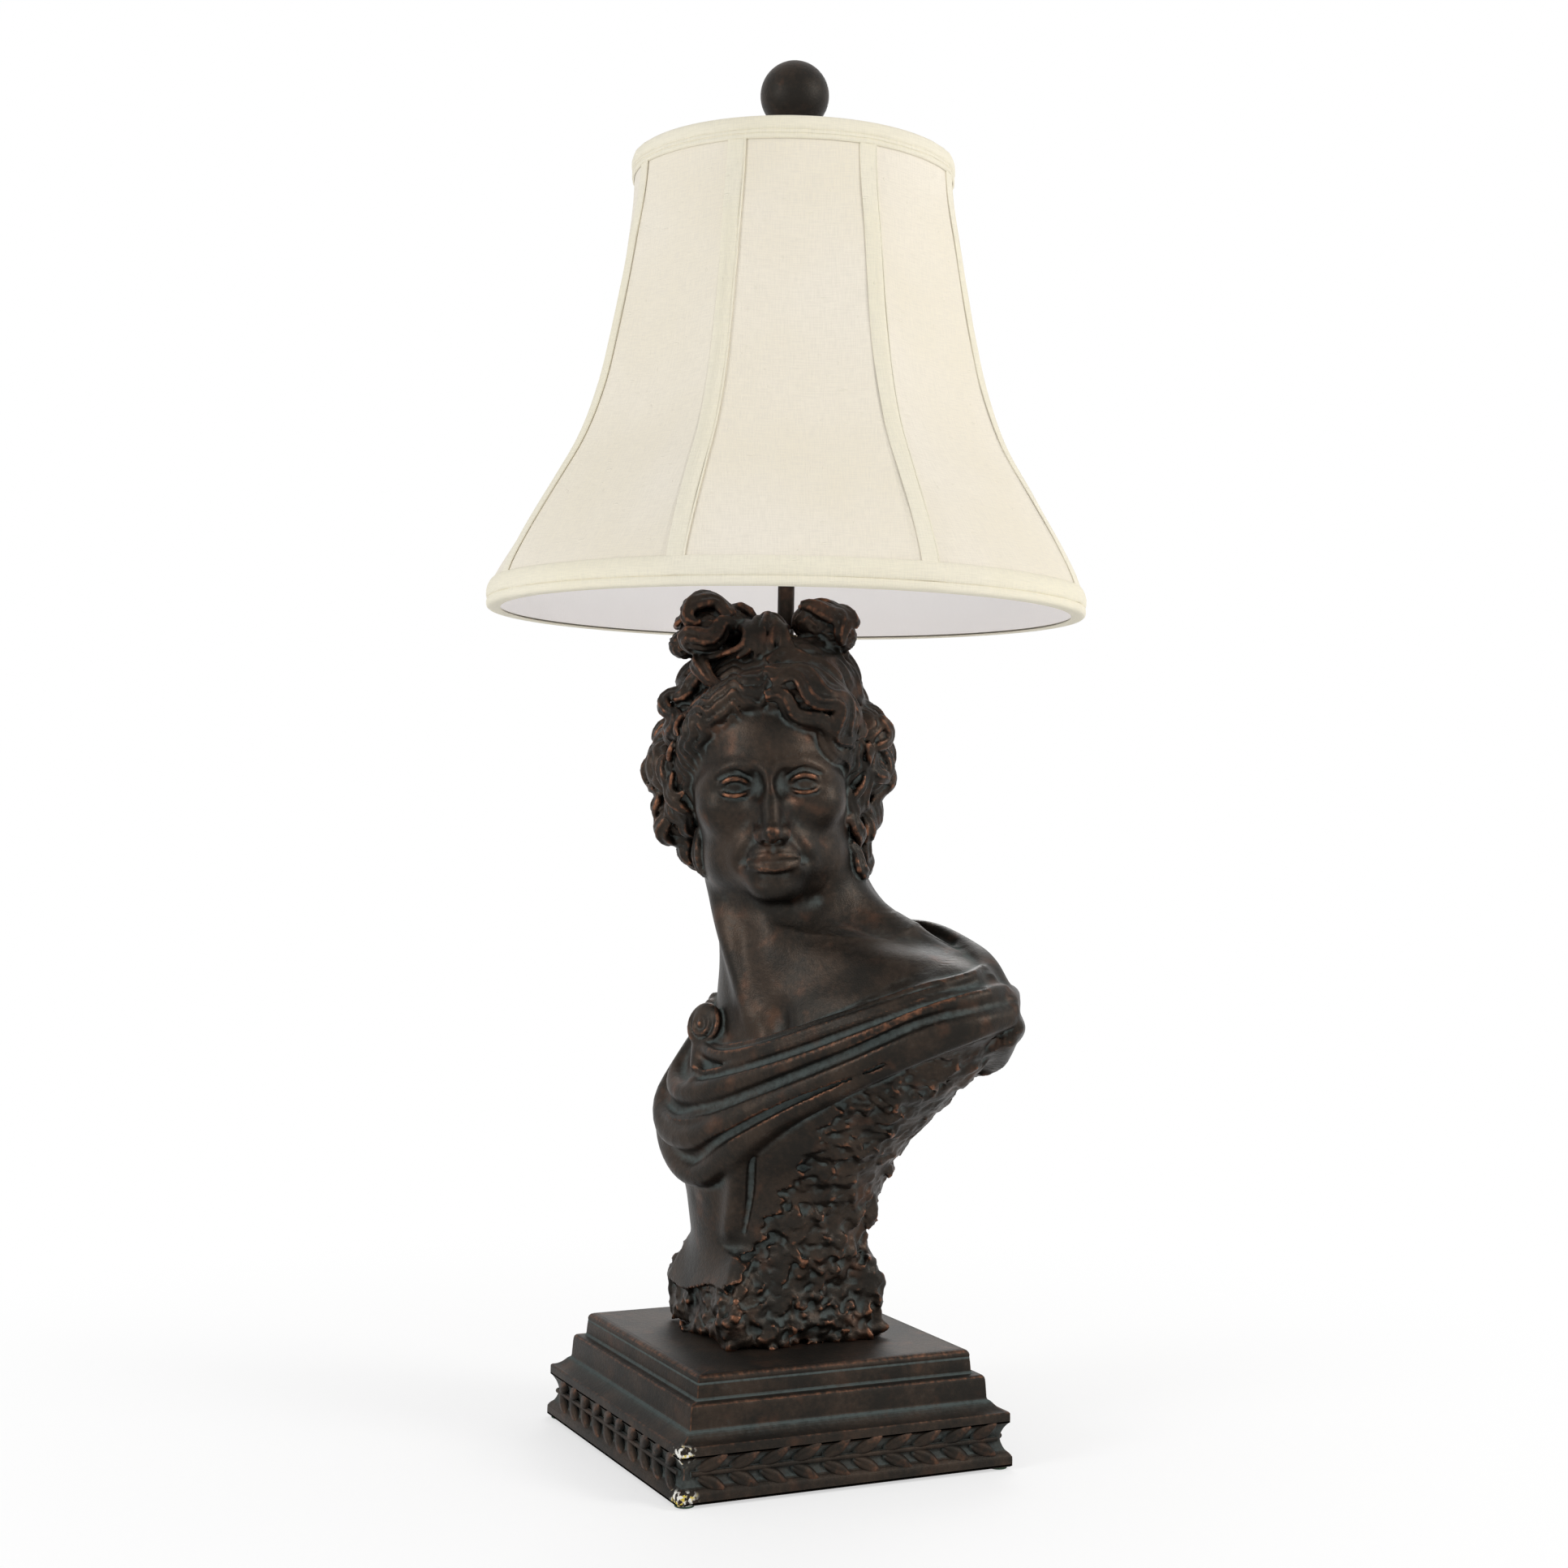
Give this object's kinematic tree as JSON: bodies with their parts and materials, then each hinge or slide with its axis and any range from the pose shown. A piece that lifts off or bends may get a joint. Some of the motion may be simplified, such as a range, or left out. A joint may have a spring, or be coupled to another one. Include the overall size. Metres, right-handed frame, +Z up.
{
  "type": "table lamp",
  "caption": "Table lamp with a classical bust on a stepped square plinth, a bell shade on a harp, a turn-knob socket and a ball finial.",
  "frame": {"origin": "centre of the lamp's footprint, on the stem's axis, at the underside of the feet", "axes": "+Z up along the stem; -Y is the plinth's front face; +Y its back face with the cord outlet; +X to the right"},
  "size_m": [0.3608, 0.3608, 0.8322],
  "materials": {
    "bronzed_plaster": "satin",
    "bronzed_wood": "satin",
    "bronzed_pipe": "satin",
    "zinc_steel": "satin",
    "brassed_steel": "satin",
    "brass": "satin",
    "black_plastic": "satin",
    "insulating_paper": "matte",
    "felt": "matte",
    "hardboard": "matte",
    "bulb_glass": "satin",
    "bulb_cap_metal": "satin",
    "shade_linen": "matte",
    "shade_lining": "matte",
    "shade_braid": "matte",
    "frame_wire": "satin"
  },
  "bodies": {
    "lamp_base": {"foot_pads": "felt", "base_board": "hardboard", "base_board_screws": "zinc_steel", "plinth": "bronzed_plaster", "cord_bushing": "black_plastic", "pipe_washer": "zinc_steel", "lock_washer": "zinc_steel", "pipe_nut": "zinc_steel", "lamp_pipe": "bronzed_pipe", "crown_washer": "bronzed_pipe", "crown_nut": "bronzed_pipe", "bust": "bronzed_plaster", "saddle_locknut": "zinc_steel", "harp_saddle": "brassed_steel", "socket_cap": "brass", "socket_shell": "brass", "socket_insulator": "insulating_paper", "socket_body": "black_plastic", "terminal_screws": "brass", "screw_shell": "brass", "center_contact": "brass", "harp": "brassed_steel"},
    "switch": {"switch_shaft": "zinc_steel", "switch_knob": "black_plastic"},
    "bulb": {"bulb_glass": "bulb_glass", "bulb_cap": "bulb_cap_metal", "bulb_contact": "bulb_cap_metal"},
    "left_ferrule": {"harp_ferrule_left": "brassed_steel"},
    "right_ferrule": {"harp_ferrule_right": "brassed_steel"},
    "swivel_stud": {"harp_stud": "brassed_steel"},
    "shade": {"shade_cover": "shade_linen", "shade_lining": "shade_lining", "shade_bottom_ring": "frame_wire", "shade_top_ring": "frame_wire", "shade_ribs": "frame_wire", "spider": "frame_wire", "bottom_trim": "shade_braid", "top_trim": "shade_braid", "rib_trims": "shade_braid"},
    "finial": {"finial_base": "brass", "finial_ball": "bronzed_wood"}
  },
  "joints": [
    {"name": "switch_turn", "type": "hinge", "parent": "lamp_base", "child": "switch", "pos_m": [0, -0.02, 0.5592], "axis": [0, -1, 0], "continuous": true},
    {"name": "bulb_turn", "type": "hinge", "parent": "lamp_base", "child": "bulb", "pos_m": [0, 0, 0.6], "axis": [0, 0, 1], "continuous": true},
    {"name": "left_ferrule_slide", "type": "slide", "parent": "lamp_base", "child": "left_ferrule", "axis": [0, 0, 1], "range_m": [0, 0.012]},
    {"name": "right_ferrule_slide", "type": "slide", "parent": "lamp_base", "child": "right_ferrule", "axis": [0, 0, 1], "range_m": [0, 0.012]},
    {"name": "shade_turn", "type": "hinge", "parent": "lamp_base", "child": "swivel_stud", "pos_m": [0, 0, 0.7555], "axis": [0, 0, 1], "continuous": true},
    {"name": "shade_lift", "type": "slide", "parent": "swivel_stud", "child": "shade", "axis": [0, 0, 1], "range_m": [0, 0.3]},
    {"name": "finial_turn", "type": "hinge", "parent": "shade", "child": "finial", "pos_m": [0, 0, 0.7728], "axis": [0, 0, 1], "continuous": true}
  ]
}
